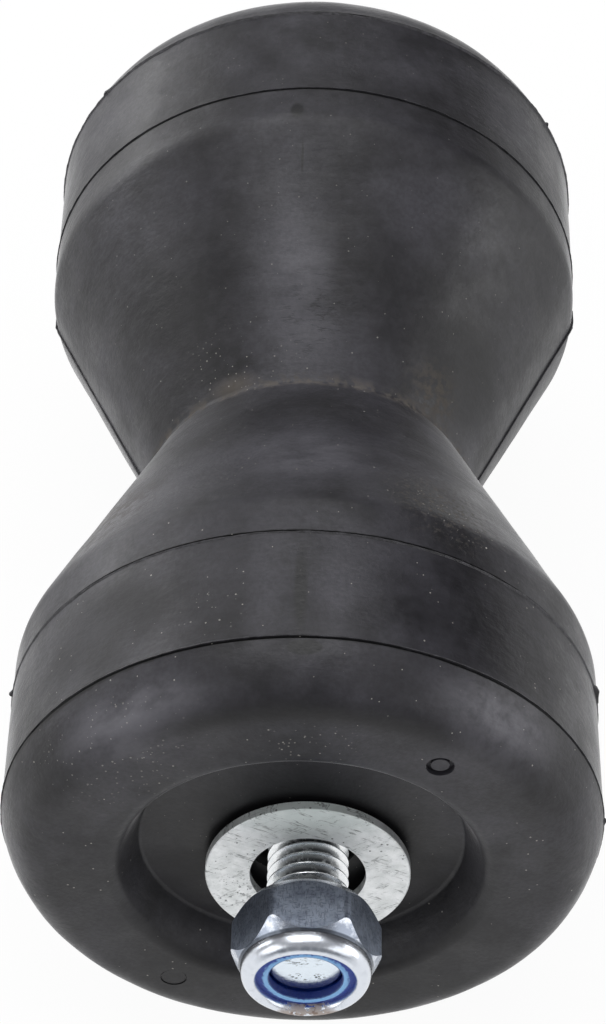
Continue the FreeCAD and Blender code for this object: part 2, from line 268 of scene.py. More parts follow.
def quarter(count):
    """Sines and cosines along a quarter turn."""
    angles = [math.pi / 2 * i / count for i in range(count + 1)]
    return [(math.sin(a), math.cos(a)) for a in angles]


def divide(start, end, count):
    """Points along a straight side, without its end."""
    steps = [i / count for i in range(count)]
    return [(start[0] + (end[0] - start[0]) * t, start[1] + (end[1] - start[1]) * t) for t in steps]


def hand_over(piece, material, body, slot, *nodes):
    """Gives a finished piece its material and body, and hides the nodes that it stands for. Its
    slot is not used.
    """
    piece.data.materials.clear()
    piece.data.materials.append(material)
    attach(piece, body)
    if nodes:
        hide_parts(*nodes)


def copy_of(node, name):
    """A copy of a CAD node's mesh, with its loose triangles merged into clean faces."""
    deselect()
    piece = new_object(name, frame["nodes"][node].data.copy())
    take(piece)
    bpy.ops.object.mode_set(mode="EDIT")
    select_all()
    bpy.ops.mesh.remove_doubles(threshold=WELD)
    bpy.ops.mesh.dissolve_limited(angle_limit=math.radians(0.6))
    bpy.ops.mesh.customdata_custom_splitnormals_clear()
    bpy.ops.object.mode_set(mode="OBJECT")
    return piece


# Shading helpers

def fill(tree, node, inputs):
    """Sets or links a node's inputs by name or number."""
    for name, value in inputs.items():
        if isinstance(value, bpy.types.NodeSocket):
            tree.links.new(value, node.inputs[name])
        else:
            node.inputs[name].default_value = value


def add(tree, kind, inputs=None, out=0, **settings):
    """Adds a node, sets or links its inputs, and gives back an output."""
    made = tree.nodes.new("ShaderNode" + kind)
    for name, value in settings.items():
        setattr(made, name, value)
    fill(tree, made, inputs or {})
    return made.outputs[out]


def new_material(name):
    material = bpy.data.materials.new(name)
    material.use_nodes = True
    return material, material.node_tree


def coat(material, inputs):
    """Fills the inputs of a material's shader."""
    tree = material.node_tree
    fill(tree, tree.nodes["Principled BSDF"], inputs)
    return material


def millimetres(tree, centre):
    """Where a point lies from a centre, in millimetres."""
    place = add(tree, "TexCoord", out="Object")
    inputs = {"Vector": place, "Location": -centre / MM, "Scale": (1 / MM,) * 3}
    return add(tree, "Mapping", inputs)


def cloudy(tree, place, grain, low=0.35, high=0.65, drawn=(1, 1, 1), tilt=0.0):
    """Clouds from 0 to 1. Their grain is in millimetres, drawn out along X, Y and Z, and tilted
    about Y."""
    tilted = add(tree, "Mapping", {"Vector": place, "Rotation": (0, tilt, 0)})
    scale = [1 / (grain * d) for d in drawn]
    here = add(tree, "Mapping", {"Vector": tilted, "Scale": scale})
    inputs = {"Vector": here, "Scale": 1, "Detail": 4, "Roughness": 0.6}
    noise = add(tree, "TexNoise", inputs, "Fac")
    return add(tree, "MapRange", {0: noise, 1: low, 2: high}, interpolation_type="SMOOTHSTEP")


def apart(tree, value, centre):
    """How far a number lies from a centre, to either side."""
    off = add(tree, "Math", {0: value, 1: centre}, operation="SUBTRACT")
    return add(tree, "Math", {0: off}, operation="ABSOLUTE")


def from_axis(tree, place):
    """The parts of a place, and how far it lies from the axis."""
    parts = add(tree, "SeparateXYZ", {0: place}).node.outputs
    flat = add(tree, "CombineXYZ", {0: parts[0], 2: parts[2]})
    return parts, add(tree, "VectorMath", {0: flat}, "Value", operation="LENGTH")


def hairlines(tree, place, grain, width, drawn, tilt=0.0):
    """Broken lines that wander the way a scratch does, drawn out along X, Y and Z, and coarser
    than real ones, to show."""
    off = apart(tree, cloudy(tree, place, grain, 0.2, 0.8, drawn, tilt), 0.5)
    line = add(tree, "MapRange", {0: off, 1: 0.0, 2: width, 3: 1.0, 4: 0.0})
    gaps = cloudy(tree, place, grain * 1.7, 0.45, 0.6)
    return add(tree, "Math", {0: line, 1: gaps}, operation="MULTIPLY")


def spot(tree, place, centre, reach, edge=0.0):
    """A spot about a centre in millimetres: 1 up to its edge, and 0 at its reach."""
    scale = [1 / r for r in reach]
    shift = [-c * s for c, s in zip(centre, scale)]
    local = add(tree, "Mapping", {"Vector": place, "Location": shift, "Scale": scale})
    gap = add(tree, "VectorMath", {0: local}, "Value", operation="LENGTH")
    inputs = {0: gap, 1: edge, 2: 1.0, 3: 1.0, 4: 0.0}
    return add(tree, "MapRange", inputs, interpolation_type="SMOOTHSTEP")


def specks(tree, place, spacing, size, share):
    """Round specks up to a size across, coarser than real ones, to show. A share of the cells of
    a spacing has one."""
    cells = add(tree, "TexVoronoi", {"Vector": place, "Scale": 1 / spacing}).node
    draws = add(tree, "SeparateColor", {0: cells.outputs["Color"]}).node
    reach = add(tree, "Math", {0: draws.outputs[1], 1: size / spacing / 2}, operation="MULTIPLY")
    near = add(tree, "Math", {0: cells.outputs["Distance"], 1: reach}, operation="LESS_THAN")
    drawn = add(tree, "Math", {0: draws.outputs[0], 1: share}, operation="LESS_THAN")
    return add(tree, "Math", {0: near, 1: drawn}, operation="MULTIPLY")


def gather(tree, operation, first, *others):
    """Takes masks together: MULTIPLY where all of them show, MAXIMUM where any does."""
    for other in others:
        first = add(tree, "Math", {0: first, 1: other}, operation=operation)
    return first


def patch(tree, place, centre, reach, *cloud):
    """A spot that clouds break up."""
    return gather(tree, "MULTIPLY", spot(tree, place, centre, reach), cloudy(tree, place, *cloud))


def lay(tree, base, above, mask, strength=1.0):
    """Lays a colour or number over another where a mask shows, at a strength."""
    amount = add(tree, "Math", {0: mask, 1: strength}, operation="MULTIPLY")
    if isinstance(above, (int, float)):
        return add(tree, "Mix", {0: amount, 2: base, 3: above}, 0, data_type="FLOAT")
    return add(tree, "Mix", {0: amount, 6: base, 7: above}, 2, data_type="RGBA")


def bump(tree, height, amount):
    """A surface that a mask raises by an amount in metres."""
    return add(tree, "Bump", {"Height": height, "Distance": amount, "Strength": 1})


# Materials

BLACK = linear("#09090a")
WORN = linear("#66656b")
WHITE_DUST = linear("#c9c5bd")
DULL_ZINC = linear("#b3bab8")
PAINTED_LIGHT_ZINC = linear("#e9f5f1")
DARK_PITS = linear("#3c4244")
REFLECTION_SHADE_ZINC = linear("#7d8798")
CORNER_SHADE = linear("#2c333d")
TARNISH = linear("#566279")
SCRATCH = linear("#353d4b")
ZINC_HAZE = linear("#aab2bd")
FOLD_SHADE = linear("#7c8592")
BROWN_RUST = linear("#7d6353")
CREST_ZINC = linear("#e0e5e8")
ROOT_GRIME_AND_SHADE = linear("#1f2428")
TIP_ZINC = linear("#e2ecf5")
TIP_MARKS = linear("#20262b")
EYE_SHADE_NYLON = linear("#0d2266")

# Marks on the rubber. Each has its centre and reach in millimetres, from the middle of the
# roller's axis, and its strength, unless the line above a list says otherwise

# patches of grey bloom, thicker where the rubber was rubbed, which also carry painted sheen and
# painted highlights: two strips on the near band, the shoulders, the cones and the far band
BLOOM_AND_SHEEN = [
    ((-24, -72.5, 33), (22, 8, 17), 1),
    ((27.5, -70.5, 32.4), (18, 7, 16), 1),
    ((-5.8, -57.5, 43.5), (4.6, 15, 8), 0.9),
    ((4.2, -57.5, 43.7), (4.6, 15, 8), 0.9),
    ((-3, -25, 36), (24, 20, 16), 1),
    ((32, 58, 28), (11, 13, 18), 0.7),
    ((-4.2, 20, 34), (10, 34, 18), 1),
    ((0, 6, 28), (10, 9, 9), 0.8),
    ((-22, -32, 33), (9, 20, 14), 0.8),
    ((-27, -28, 30), (11, 24, 18), 0.9),
    ((0, 4, 27), (16, 9, 10), 0.8),
    ((-34, 58, 26), (13, 14, 20), 0.8),
    ((0, -74, 36), (26, 4, 6), 0.25),
]
# streaks have their tilt in degrees before their strength
STREAKED = [
    ((-24, -72.5, 33), (19, 6, 15), 40, 0.8),
    ((27.5, -70.5, 32.4), (15, 6, 14), 40, 0.8),
    ((-2, 15, 32), (8, 24, 10), 0, 0.4),
    ((0, -28, 38), (12, 14, 10), 0, 0.4),
]
# painted shade in the recess, on the end face, on the near band's left side and low on both sides
# of the far cone
SHADED_PLACES = [
    ((0, -70, -2), (28, 7, 28), 0.8),
    ((0, -75.5, -10), (46, 3, 36), 0.7),
    ((-27, -57, 31), (15, 11, 15), 0.35),
    ((24, 10, 17), (11, 11, 15), 0.6),
    ((-23, 17, 27), (8, 12, 13), 0.3),
]
# vents have the share of their reach that is full
VENTS = [
    ((-0.2, -67.8, 43.3), (2.8, 1.2, 3), 0.75),
    ((-0.9, -58, 43.8), (1.3, 10, 3), 0.4),
    ((-3.3, 42, 43.7), (1.4, 2.2, 3), 0.5),
    ((-2.3, 34, 41), (0.3, 4.5, 3), 0.3),
]
# crowds of specks have no strength
SPECKLED = [
    ((-13.2, -61, 41.7), (6, 6, 6)),
    ((-28, -73, 28), (22, 6, 16)),
    ((20, -35, 37), (12, 12, 12)),
    ((-12, 4, 24), (14, 8, 10)),
    ((1, -75, 31), (9, 3, 7)),
]
# the band's dark side is smoother, and two places are duller: a roughness, then the strength
POLISHED = [
    ((21, -57, 38.5), (17, 17, 17), 0.28, 0.8),
    ((-28, -58, 34), (14, 13, 14), 0.62, 0.7),
    ((24, 10, 17), (12, 12, 16), 0.6, 0.6),
]


def bloomed_rubber(tree, place, grain, f):
    """Bloom drifts in clouds. Its patches, thicker where hands and the mould have worn the surface,
    also carry painted sheen and painted highlights.
    """
    drift = gather(tree, "MULTIPLY", cloudy(tree, place, 26), cloudy(tree, place, 11, 0.25, 0.65))
    base = lay(tree, f.rubber, f.bloom, drift, 0.75)
    # each patch lays bloom with painted sheen over the rubber
    for centre, size, strength in BLOOM_AND_SHEEN:
        rubbing_and_highlight = patch(tree, place, centre, size, 7, 0.1, 0.6, (1, 1.6, 1))
        base = lay(tree, base, f.bloom, rubbing_and_highlight, strength)
    base = lay(tree, base, BLACK, grain, 0.3)
    base = lay(tree, base, f.bloom, cloudy(tree, place, 1.9, 0.4, 0.7), 0.14)
    for centre, size, tilt, strength in STREAKED:
        worn = patch(tree, place, centre, size, 5, 0.35, 0.65, (2, 1, 1.2), math.radians(tilt))
        base = lay(tree, base, WORN, worn, strength)
    return base


def blackened_rubber(tree, place, base, vents):
    """Dark blotches by the waist, painted shade in the recess, on the end face and on three sides,
    painted shade along the soft line where the shoulder turns into the end face, and the smooth
    marks of the mould's vents."""
    # near-black blotches low in the V by the waist
    dark_blotch = patch(tree, place, (-12.5, 4, 24), (9, 7, 8), 2.5, 0.4, 0.6)
    base = lay(tree, base, BLACK, dark_blotch, 0.8)
    # painted shade laid in black at each of these places
    for centre, size, strength in SHADED_PLACES:
        base = lay(tree, base, BLACK, spot(tree, place, centre, size, 0.5), strength)
    # painted shade along the soft line where the shoulder turns into the end face, at the top
    outer = spot(tree, place, (0, -75, 0), (41.5, 8, 41.5), 0.9)
    inner = spot(tree, place, (0, -75, 0), (38, 8, 38), 0.9)
    ring = add(tree, "Math", {0: outer, 1: inner}, operation="SUBTRACT")
    crease = gather(tree, "MULTIPLY", ring, spot(tree, place, (0, -75, 36), (30, 8, 14), 0.4))
    base = lay(tree, base, BLACK, crease, 0.75)
    return lay(tree, base, BLACK, vents, 0.85)


def mould_gaps(tree, place, base, reach, s):
    """The gaps of the mould's parts stay black. They wander, and are wider at the near left."""
    wander = cloudy(tree, place, 1.8, 0.2, 0.8)
    wander = add(tree, "Math", {0: wander, 1: 0.32}, operation="MULTIPLY")
    wander = add(tree, "Math", {0: reach, 1: wander}, operation="ADD")
    wider = spot(tree, place, (-38, -66.4, 22), (28, 8, 36), 0.4)
    wider = add(tree, "Math", {0: wider, 1: 0.3}, operation="MULTIPLY")
    for station, width in ((s.shoulder_at, 0.42), (s.band_at, 0.36)):
        off = apart(tree, wander, station / MM + 0.12)
        off = add(tree, "Math", {0: off, 1: wider}, operation="SUBTRACT")
        line = add(tree, "MapRange", {0: off, 1: width * 0.4, 2: width, 3: 1.0, 4: 0.0})
        base = lay(tree, base, BLACK, line, 0.9)
    return base


def dusty_rubber(tree, place, base, along, reach, f):
    """A brown film of dust by the waist, grit on the near cone, a haze of bloom with painted sheen
    on the far cone, and white specks all over, fewer towards the far end. Gives the colour, and
    where dust lies."""
    waist = add(tree, "MapRange", {0: reach, 1: 0.2, 2: 1.6, 3: 1.0, 4: 0.0})
    film = gather(
        tree, "MAXIMUM",
        gather(tree, "MULTIPLY", waist, cloudy(tree, place, 1.4, 0.42, 0.62)),
        spot(tree, place, (-12.4, 1, 23), (6, 2.5, 6)),
        patch(tree, place, (19, 4, 19), (7, 7, 9), 1.2, 0.4, 0.62),
        patch(tree, place, (20, -35, 37), (13, 13, 14), 0.8, 0.5, 0.66),
        patch(tree, place, (-29, -30, 24), (12, 16, 18), 1.6, 0.4, 0.68),
    )
    # a haze of bloom with painted sheen along the top of the far cone
    haze_and_sheen = patch(tree, place, (-1, 9, 29), (17, 14, 14), 1.2, 0.38, 0.7, (2.5, 1, 1))
    base = lay(tree, base, f.bloom, haze_and_sheen, 0.6)
    base = lay(tree, base, f.dust, film, 0.24)
    crowd = gather(tree, "MAXIMUM", *[spot(tree, place, *mark) for mark in SPECKLED])
    close = gather(tree, "MULTIPLY", specks(tree, place, 0.7, 0.33, 0.6), crowd)
    fine, coarse = specks(tree, place, 1, 0.28, 0.3), specks(tree, place, 6, 0.5, 0.3)
    thick = add(tree, "MapRange", {0: along, 1: -20.0, 2: 25.0, 3: 1.0, 4: 0.35})
    dots = gather(tree, "MULTIPLY", gather(tree, "MAXIMUM", fine, coarse), thick)
    dots = gather(tree, "MAXIMUM", close, dots)
    return lay(tree, base, WHITE_DUST, dots, 0.45), gather(tree, "MAXIMUM", film, dots)


def moulded_rubber(s, f):
    """Black rubber from a steel mould: a soft grey sheen, bloom in drifts, flow marks and dust."""
    material, tree = new_material("moulded_rubber")
    place = millimetres(tree, ROLLER_AXIS)
    along = add(tree, "SeparateXYZ", {0: place}, 1)
    reach = add(tree, "Math", {0: along}, operation="ABSOLUTE")
    grain = cloudy(tree, place, 0.7, 0.3, 0.7)
    vents = gather(tree, "MAXIMUM", *[spot(tree, place, *vent) for vent in VENTS])
    wrinkles = gather(
        tree, "MULTIPLY", hairlines(tree, place, 1.3, 0.12, (4, 1, 4)),
        spot(tree, place, (0.5, 10, 30), (9, 13, 9)),
    )
    base = bloomed_rubber(tree, place, grain, f)
    base = blackened_rubber(tree, place, base, vents)
    base = mould_gaps(tree, place, base, reach, s)
    base, dust = dusty_rubber(tree, place, base, along, reach, f)
    base = lay(tree, base, BLACK, wrinkles, 0.6)

    rough = add(tree, "MapRange", {0: cloudy(tree, place, 9), 3: 0.37, 4: 0.49})
    for centre, size, level, strength in POLISHED:
        rough = lay(tree, rough, level, spot(tree, place, centre, size, 0.4), strength)
    rough = lay(tree, rough, 0.3, vents)
    rough = lay(tree, rough, 0.9, dust)
    rough = lay(tree, rough, 0.6, grain, 0.25)

    # flow marks run round the roller, with wrinkles on top of the far cone
    height = cloudy(tree, place, 3.5, 0.2, 0.8, (3, 1, 3))
    height = add(tree, "Math", {0: height, 1: 0.55}, operation="MULTIPLY")
    height = lay(tree, height, 0.75, grain, 0.24)
    height = lay(tree, height, 0.0, wrinkles, 0.8)
    return coat(material, {
        "Base Color": base, "Roughness": rough, "Normal": bump(tree, height, 0.11 * MM),
        "IOR": 1.42, "Sheen Weight": 0.65, "Sheen Roughness": 0.18,
    })


def flash_rubber(f):
    """The thin rubber of flash and fins: matt, torn and a little darker than the moulding."""
    material, tree = new_material("flash_rubber")
    place = millimetres(tree, ROLLER_AXIS)
    base = lay(tree, f.rubber, f.bloom, cloudy(tree, place, 1.2), 0.5)
    raised = bump(tree, cloudy(tree, place, 0.5), 0.05 * MM)
    return coat(material, {"Base Color": base, "Roughness": 0.55, "Normal": raised})


def zinc_washer(f):
    """Zinc-plated pressed steel: bright and satin, with dark hairlines and pits, and painted light
    on a less metallic top.
    """
    material, tree = new_material("zinc_washer")
    place = millimetres(tree, BOLT_AXIS)
    base = lay(tree, f.zinc, DULL_ZINC, cloudy(tree, place, 2.2), 0.3)
    # painted light on the top, which is also less metallic
    top = spot(tree, place, (0, -71, 12), (17, 9, 8))
    base = lay(tree, base, PAINTED_LIGHT_ZINC, top, 0.7)
    lines = gather(
        tree, "MAXIMUM",
        hairlines(tree, place, 1.5, 0.04, (12, 3, 1), math.radians(-24)),
        hairlines(tree, place, 1.3, 0.02, (10, 3, 1), math.radians(31)),
    )
    pits = gather(
        tree, "MAXIMUM",
        specks(tree, place, 0.8, 0.34, 0.35),
        gather(
            tree, "MULTIPLY", specks(tree, place, 0.5, 0.5, 0.7),
            spot(tree, place, (-10.5, -71, -6), (5, 9, 5)),
        ),
    )
    marks = gather(tree, "MAXIMUM", lines, pits)
    base = lay(tree, base, DARK_PITS, marks, 0.75)
    rough = add(tree, "MapRange", {0: cloudy(tree, place, 1.6), 3: 0.5, 4: 0.64})
    height = cloudy(tree, place, 0.5, 0.3, 0.7, (5, 3, 1), math.radians(-18))
    return coat(material, {
        "Base Color": base, "Roughness": rough, "Metallic": lay(tree, 0.85, 0.2, top),
        "Normal": bump(tree, lay(tree, height, 0.0, marks, 0.8), 0.035 * MM),
    })


# in millimetres: from the nut's front to the corner between bevel and collar, and from the axis
# to where the collar turns into its lip and to just outside the collar
NUT_FOOT, COLLAR_FOLD, COLLAR_EDGE = 2.95, 8.5, 9.42


def zinc_nut(f):
    """Blue zinc on drawn bar: dark, finely scratched flats. The turned bevel faces and the rolled
    lip are bright, with painted dark reflections on the bevel faces and painted shade in the corner
    by the collar and in the collar's fold at the top. The lip's plating has flaked at the bottom."""
    material, tree = new_material("zinc_nut")
    place = millimetres(tree, BOLT_AXIS)
    parts, radius = from_axis(tree, place)
    front = NUT_LOW.y / MM
    facing = add(tree, "TexCoord", out="Normal")
    facing = add(tree, "Math", {0: add(tree, "SeparateXYZ", {0: facing}, 1)}, operation="ABSOLUTE")
    flats = gather(
        tree, "MULTIPLY",
        add(tree, "Math", {0: radius, 1: COLLAR_EDGE}, operation="GREATER_THAN"),
        add(tree, "Math", {0: facing, 1: 0.2}, operation="LESS_THAN"),
    )
    # painted dark reflections in clouds on the bevel faces
    bevel_reflections = gather(
        tree, "MULTIPLY", add(tree, "MapRange", {0: radius, 1: 9.2, 2: 9.5}),
        add(tree, "MapRange", {0: facing, 1: 0.25, 2: 0.4}),
        cloudy(tree, place, 2.6, 0.3, 0.55, (1, 1, 0.6)),
    )
    base = lay(tree, f.blue_zinc, REFLECTION_SHADE_ZINC, bevel_reflections, 0.8)
    base = lay(tree, base, f.drawn_zinc, flats)
    # painted shade in the corner between the bevel and the collar
    foot = apart(tree, parts[1], front + NUT_FOOT)
    foot = add(tree, "MapRange", {0: foot, 1: 0.16, 2: 0.34, 3: 1.0, 4: 0.0})
    base = lay(tree, base, CORNER_SHADE, foot, 0.8)
    tarnish = gather(tree, "MULTIPLY", cloudy(tree, place, 2.4, 0.4, 0.62), flats)
    base = lay(tree, base, TARNISH, tarnish, 0.35)

    # scratches of the drawn bar, coarser than real ones, to show
    scratches = gather(
        tree, "MAXIMUM", cloudy(tree, place, 0.24, 0.5, 0.66, (1, 4, 1), math.radians(14)),
        cloudy(tree, place, 0.24, 0.52, 0.66, (4, 1, 2), math.radians(-32)),
    )
    base = lay(tree, base, SCRATCH, gather(tree, "MULTIPLY", scratches, flats), 0.5)
    base = lay(tree, base, ZINC_HAZE, cloudy(tree, place, 1.6, 0.5, 0.75), 0.3)

    # painted shade lies in the collar's fold at the top, and its plating has flaked at the bottom
    fold = {0: apart(tree, radius, COLLAR_FOLD), 1: 0.12, 2: 0.4, 3: 1.0, 4: 0.0}
    fold = add(tree, "MapRange", fold)
    upper = spot(tree, place, (0, front, 8), (10, 9, 7), 0.4)
    fold = gather(tree, "MULTIPLY", fold, upper, cloudy(tree, place, 3, 0.3, 0.55))
    base = lay(tree, base, FOLD_SHADE, fold, 0.6)
    flaked = gather(
        tree, "MULTIPLY",
        spot(tree, place, (1.2, front + 0.5, -8.4), (8.5, 2.6, 2.6), 0.6),
        cloudy(tree, place, 1.1, 0.44, 0.47),
    )
    base = lay(tree, base, f.rust, flaked)
    browned = gather(tree, "MULTIPLY", flaked, cloudy(tree, place, 0.9, 0.52, 0.62))
    base = lay(tree, base, BROWN_RUST, browned, 0.7)
    rough = add(tree, "MapRange", {0: flats, 3: 0.22, 4: 0.38})
    return coat(material, {
        "Base Color": base, "Roughness": lay(tree, rough, 0.8, flaked),
        "Metallic": add(tree, "Math", {0: 1.0, 1: flaked}, operation="SUBTRACT"),
        "Normal": bump(tree, lay(tree, scratches, 0.0, flaked), 0.004 * MM),
    })


def zinc_bolt(b, f):
    """Zinc on a rolled thread: bright crests, and dark, speckled roots with painted shade. The tip
    is paler.
    """
    material, tree = new_material("zinc_bolt")
    place = millimetres(tree, BOLT_AXIS)
    parts, radius = from_axis(tree, place)
    front = BOLT_LOW.y / MM
    base = lay(tree, f.zinc, CREST_ZINC, cloudy(tree, place, 0.8), 0.4)

    # grime and painted shade lie in the middle of the roots, behind the tip and not on the head
    ends = {0: radius, 1: b.core / MM + 0.1, 2: b.thread / MM - 0.15, 3: 1, 4: 0}
    root = add(tree, "MapRange", ends)
    behind = add(tree, "Math", {0: parts[1], 1: front + 1}, operation="GREATER_THAN")
    centre = add(tree, "Math", {0: parts[0]}, operation="ABSOLUTE")
    centre = add(tree, "MapRange", {0: centre, 1: 3, 2: 4.6, 3: 1.0, 4: 0.12})
    ahead = add(tree, "Math", {0: parts[1], 1: 0.0}, operation="LESS_THAN")
    shown = gather(tree, "MULTIPLY", behind, ahead, centre)
    grime_and_shade = gather(tree, "MULTIPLY", root, shown, cloudy(tree, place, 0.7, 0.25, 0.5))
    base = lay(tree, base, ROOT_GRIME_AND_SHADE, grime_and_shade, 0.85)

    # the tip has dark dots along two edges, and worn lines across its upper half
    tip = add(tree, "Math", {0: parts[1], 1: front + 0.5}, operation="LESS_THAN")
    base = lay(tree, base, TIP_ZINC, tip)
    rims = gather(
        tree, "MAXIMUM",
        spot(tree, place, (0.2, front, -1.5), (3.4, 2, 1.2), 0.4),
        spot(tree, place, (0, front, 4.3), (3.5, 2, 0.8), 0.4),
    )
    dots = gather(tree, "MULTIPLY", specks(tree, place, 0.4, 0.5, 0.8), rims, tip)
    upper = spot(tree, place, (-0.4, front, 2.7), (4, 2, 1.9), 0.5)
    worn = gather(tree, "MULTIPLY", hairlines(tree, place, 0.9, 0.1, (3, 1, 1), 0.2), upper, tip)
    dots = gather(tree, "MAXIMUM", dots, worn)
    base = lay(tree, base, TIP_MARKS, dots, 0.9)
    rough = add(tree, "MapRange", {0: cloudy(tree, place, 0.6), 3: 0.16, 4: 0.26})
    return coat(material, {
        "Base Color": base, "Roughness": lay(tree, rough, 0.5, grime_and_shade), "Metallic": 1.0,
        "Normal": bump(tree, cloudy(tree, place, 0.5, 0.3, 0.7), 0.006 * MM),
    })


# in millimetres: the radius of the ring's torn crest, which carries a painted highlight, and of its
# eye, where shade is painted
TORN_CREST, RING_EYE = 5.95, 5.4


def blue_nylon(f):
    """Blue nylon: deep in colour and waxy, pale where the bolt's thread has torn its crest, with a
    painted highlight there, and with painted shade in its eye.
    """
    material, tree = new_material("blue_nylon")
    place = millimetres(tree, BOLT_AXIS)
    parts, radius = from_axis(tree, place)
    torn = add(tree, "Math", {0: cloudy(tree, place, 0.5, 0.2, 0.8), 1: 0.5}, operation="MULTIPLY")
    off = add(tree, "Math", {0: radius, 1: torn}, operation="ADD")
    off = apart(tree, off, TORN_CREST)
    crest = add(tree, "MapRange", {0: off, 1: 0.28, 2: 0.5, 3: 1.0, 4: 0.0})
    front = INSERT_LOW.y / MM
    near = add(tree, "MapRange", {0: parts[1], 1: front + 0.2, 2: front + 0.45, 3: 1.0, 4: 0.0})
    crest = gather(tree, "MULTIPLY", crest, near)
    # the torn crest is pale, with a painted highlight on it
    base = lay(tree, f.nylon, f.rubbing_and_highlight, crest)
    # painted shade in the ring's eye
    inner = add(tree, "Math", {0: radius, 1: RING_EYE}, operation="LESS_THAN")
    base = lay(tree, base, EYE_SHADE_NYLON, inner, 0.7)
    height = lay(tree, cloudy(tree, place, 0.35), 1.0, crest, 0.5)
    raised = bump(tree, height, 0.05 * MM)
    return coat(material, {"Base Color": base, "Roughness": 0.32, "Normal": raised})


# Roller

def half_outline(s):
    """The near half of the roller's section, from the waist round to the bore."""
    rise = s.blend + s.crease - (s.flange - s.waist)
    reach = math.hypot(s.cone_at, rise)
    slope = math.atan2(s.cone_at, rise) - math.acos((s.blend + s.crease) / reach)
    outline = arc((0, s.waist + s.crease), s.crease, math.pi, math.pi + slope, 4)
    blend = arc((-s.cone_at, s.flange - s.blend), s.blend, slope, 0, 8)
    outline += divide(outline.pop(), blend[0], 14)
    outline += blend
    gap = s.groove / 2
    for station in (s.band_at, s.shoulder_at):
        outline += divide(outline.pop(), (-station + gap, s.flange), 4)
        outline += [(-station + gap, s.flange), (-station, s.flange - s.groove)]
        outline.append((-station - gap, s.flange))

    # the shoulder's arc runs through the band's outer line and the rim of the end face
    crown, rim = Vector((-s.shoulder_at, s.flange)), Vector((-s.half_length, s.rim))
    chord = rim - crown
    inward = Vector((-chord.y, chord.x)).normalized()
    inward *= -1 if inward.y > 0 else 1
    centre = (crown + rim) / 2 + inward * math.sqrt(s.bulge ** 2 - (chord.length / 2) ** 2)
    start = math.atan2(crown.x - centre.x, crown.y - centre.y)
    beside = -s.half_length + s.rim_round - centre.x
    above = math.sqrt((s.bulge - s.rim_round) ** 2 - beside ** 2)
    bend = math.atan2(beside, above)
    outline += arc(centre, s.bulge, start - gap / s.bulge, bend, 12)[1:-1]
    turn = (centre.x + beside, centre.y + above)
    outline += arc(turn, s.rim_round, bend, -math.pi / 2, 10)

    # the recess, with its mouth and the edge of its floor rounded
    wall = math.atan2(s.mouth - s.floor, s.depth)
    fit = math.tan((math.pi / 2 - wall) / 2)
    mouth = arc(
        (-s.half_length + s.lip, s.mouth + s.lip * fit), s.lip, -math.pi / 2, -math.pi + wall, 9
    )
    bed = -s.half_length + s.depth
    foot = arc((bed - s.corner, s.floor - s.corner * fit), s.corner, wall, math.pi / 2, 5)
    outline += divide(outline.pop(), mouth[0], 6) + mouth[:-1]
    outline += divide(mouth[-1], foot[0], 3) + foot[:-1]
    outline += divide(foot[-1], (bed, s.bore), 5)
    return outline + [(bed, s.bore)]


GATES = ((35, 0.9 * MM), (215, 0.2 * MM))  # turn from the top in degrees, and depth


def cut_gates(piece, s):
    """Cuts the round marks into the near end face, each a groove round a shallower middle."""
    for turn, deep in GATES:
        middle = across(ROLLER_AXIS, [(-s.half_length, s.gate_reach)], math.radians(turn))[0]
        axis = Vector((middle.x, 0, middle.z))
        shape = [
            (middle.y - 1 * MM, 0), (middle.y - 1 * MM, s.gate), (middle.y + deep, s.gate),
            (middle.y + deep, s.gate - deep * 0.7), (middle.y + deep / 3, s.gate - deep * 0.8),
            (middle.y + deep / 3, 0),
        ]
        cutter = turned("gate_cutter", axis, shape, 40, closed=False)
        modify(piece, "BOOLEAN", object=cutter, operation="DIFFERENCE", solver="EXACT")
        bpy.data.objects.remove(cutter, do_unlink=True)


def make_roller(s, f):
    """The moulding, spun from its whole section, with the unevenness that cooling leaves."""
    near = half_outline(s)
    far = [(-along, out) for along, out in reversed(near)]
    piece = turned("roller_moulding", ROLLER_AXIS, far[:-1] + near, 300)
    roughen(piece, grain=16 * MM, strength=0.3 * MM)
    cut_gates(piece, s)
    smooth(piece, 40)
    hand_over(piece, moulded_rubber(s, f), ROLLER, "rubber_black", "roller")


# how deep flash and fins stand in the rubber, the width of the flash at its foot and crest and
# the fall of its crest, and how thick fins and flakes are
FLASH_FOOT, FIN_FOOT = 0.3 * MM, 0.6 * MM
FLASH_WIDTH, FLASH_CREST, FLASH_FALL = 0.7 * MM, 0.15 * MM, 0.04 * MM
FIN_THICKNESS, FLAKE_THICKNESS = 0.4 * MM, 0.5 * MM


def make_flash(s, material):
    """The lines of flash, one at each side of each band. Each has its station, the side that its
    foot runs to, and how high and ragged it is."""
    lines = {
        "near_shoulder": (-s.shoulder_at, 1, 0.8),
        "near_band": (-s.band_at, -1, 0.7),
        "far_band": (s.band_at, 1, 0.8),
        "far_shoulder": (s.shoulder_at, -1, 1.2),
    }
    for name, (station, side, size) in lines.items():
        foot = s.flange - FLASH_FOOT
        top = s.flange + s.flash * size
        start = station + side * s.groove * 0.4
        points = [
            (start, foot), (start, top), (start + side * FLASH_CREST, top - FLASH_FALL),
            (start + side * FLASH_WIDTH, foot),
        ]
        piece = turned(f"flash_{name}", ROLLER_AXIS, points, 720)
        roughen(piece, grain=1.6 * MM, strength=0.22 * size * MM)
        roughen(piece, grain=5 * MM, strength=0.3 * size * MM, direction="Y")
        smooth(piece, 50)
        hand_over(piece, material, ROLLER, "rubber_black")


